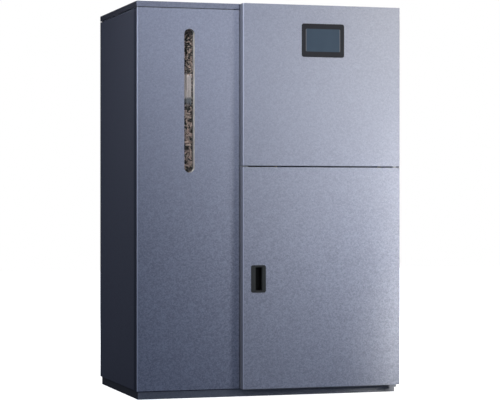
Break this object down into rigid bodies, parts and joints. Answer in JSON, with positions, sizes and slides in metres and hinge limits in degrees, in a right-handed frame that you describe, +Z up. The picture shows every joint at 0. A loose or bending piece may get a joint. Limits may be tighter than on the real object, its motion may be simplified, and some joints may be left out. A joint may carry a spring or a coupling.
{
  "type": "pellet boiler",
  "caption": "Floor-standing pellet boiler with a built-in pellet hopper, an upright sight slot, a display and a hinged lower door.",
  "frame": {"origin": "on the floor, under the middle of the whole outline", "axes": "+X to the right seen from the front, +Y to the back, +Z up"},
  "size_m": [1.044, 0.7344, 1.5],
  "materials": {
    "front_paint": "satin",
    "side_paint": "satin",
    "rear_paint": "satin",
    "plinth_paint": "matte",
    "galvanised_sheet": "satin",
    "zinc_steel": "satin",
    "bright_steel": "polished",
    "cream_plastic": "matte",
    "clear_glass": "gloss",
    "pellets": "matte",
    "black_rubber": "matte",
    "dark_plastic": "matte",
    "screen_glass": "gloss",
    "board_plastic": "satin",
    "boiler_steel": "matte",
    "mineral_wool": "matte",
    "heat_steel": "satin",
    "grate_iron": "matte",
    "fan_aluminium": "satin",
    "motor_metal": "matte",
    "hose_plastic": "matte",
    "heat_board": "matte",
    "seal_rope": "matte",
    "red_plastic": "gloss"
  },
  "bodies": {
    "cabinet": {"plinth_frame": "plinth_paint", "base_plate": "galvanised_sheet", "left_side_panel": "side_paint", "right_side_panel": "side_paint", "divider_panel": "galvanised_sheet", "hopper_rear_panel": "rear_paint", "boiler_rear_panel": "rear_paint", "front_centre_post": "galvanised_sheet", "front_right_post": "galvanised_sheet", "left_front_panel": "front_paint", "sight_slot_liner": "cream_plastic", "sight_glass": "clear_glass", "hopper_bin": "galvanised_sheet", "pellet_fill": "pellets", "lid_hinge_leaves": "zinc_steel", "lid_hinge_pins": "bright_steel", "upper_front_panel": "front_paint", "display_bezel": "dark_plastic", "display_screen": "screen_glass", "control_board": "board_plastic", "top_cover": "front_paint", "door_hinge_brackets": "plinth_paint", "door_pivot_pins": "bright_steel", "door_magnets": "dark_plastic", "boiler_body": "boiler_steel", "boiler_insulation": "mineral_wool", "burner_box": "galvanised_sheet", "burner_tube": "heat_steel", "burner_igniter": "heat_steel", "burner_fan_motor": "motor_metal", "auger_tube": "zinc_steel", "auger_motor": "motor_metal", "drop_hose": "hose_plastic", "hose_clamps": "bright_steel", "cleaning_motor": "motor_metal", "smoke_box_cover": "boiler_steel", "cover_nuts": "dark_plastic", "exhaust_fan_box": "heat_steel", "exhaust_motor": "motor_metal", "water_connections": "zinc_steel", "mains_inlet": "dark_plastic", "panel_screws": "zinc_steel"},
    "lid": {"hopper_lid": "front_paint", "lid_seal": "black_rubber"},
    "door": {"lower_door": "front_paint", "door_liner": "galvanised_sheet", "door_pivot_blocks": "dark_plastic", "door_pull": "dark_plastic"},
    "inner_door": {"fire_door": "boiler_steel", "fire_door_board": "heat_board", "fire_door_seal": "seal_rope"},
    "latch": {"fire_door_handle": "grate_iron"},
    "drawer": {"ash_drawer": "boiler_steel"},
    "auger": {"auger_screw": "bright_steel"},
    "burner_fan": {"burner_fan_rotor": "fan_aluminium"},
    "exhaust_fan": {"exhaust_impeller": "heat_steel"},
    "grate": {"burner_grate": "grate_iron"},
    "crank": {"cleaning_crank": "bright_steel"},
    "scrapers": {"turbulator_rack": "heat_steel"},
    "rocker": {"mains_switch": "red_plastic"}
  },
  "joints": [
    {"name": "lid_hinge", "type": "hinge", "parent": "cabinet", "child": "lid", "pos_m": [-0.31655, 0.31425, 1.477], "axis": [-1, 0, 0], "range_deg": [0, 95]},
    {"name": "door_hinge", "type": "hinge", "parent": "cabinet", "child": "door", "pos_m": [0.5, -0.34675, 0.8765], "axis": [0, 0, 1], "range_deg": [0, 110]},
    {"name": "fire_door_hinge", "type": "hinge", "parent": "cabinet", "child": "inner_door", "pos_m": [0.434, -0.26575, 0.245], "axis": [0, 0, 1], "range_deg": [0, 99]},
    {"name": "latch_turn", "type": "hinge", "parent": "inner_door", "child": "latch", "pos_m": [0.139, -0.26575, 0.352], "axis": [0, -1, 0], "range_deg": [0, 90]},
    {"name": "drawer_slide", "type": "slide", "parent": "cabinet", "child": "drawer", "axis": [0, -1, 0], "range_m": [0, 0.28]},
    {"name": "auger_spin", "type": "hinge", "parent": "cabinet", "child": "auger", "pos_m": [-0.31655, -0.01675, 0.48], "axis": [1, 0, 0], "continuous": true},
    {"name": "burner_fan_spin", "type": "hinge", "parent": "cabinet", "child": "burner_fan", "pos_m": [-0.047, -0.01675, 0.204], "axis": [1, 0, 0], "continuous": true},
    {"name": "exhaust_fan_spin", "type": "hinge", "parent": "cabinet", "child": "exhaust_fan", "pos_m": [0.267, 0.12325, 1.29], "axis": [0, 0, 1], "continuous": true},
    {"name": "grate_slide", "type": "slide", "parent": "cabinet", "child": "grate", "axis": [1, 0, 0], "range_m": [0, 0.04]},
    {"name": "crank_turn", "type": "hinge", "parent": "cabinet", "child": "crank", "pos_m": [0.062, 0.01825, 1.02], "axis": [-1, 0, 0], "range_deg": [0, 50]},
    {"name": "scraper_lift", "type": "slide", "parent": "cabinet", "child": "scrapers", "axis": [0, 0, 1], "range_m": [0, 0.054]},
    {"name": "rocker_tilt", "type": "hinge", "parent": "cabinet", "child": "rocker", "pos_m": [-0.058, 0.30475, 1.33], "axis": [-1, 0, 0], "range_deg": [0, 18]}
  ],
  "couplings": [
    {"joint": "fire_door_hinge", "follows": "door_hinge", "ratio": 0.9},
    {"joint": "drawer_slide", "follows": "door_hinge", "m_per_rad": 0.14584},
    {"joint": "crank_turn", "follows": "scraper_lift", "rad_per_m": 16.16}
  ]
}
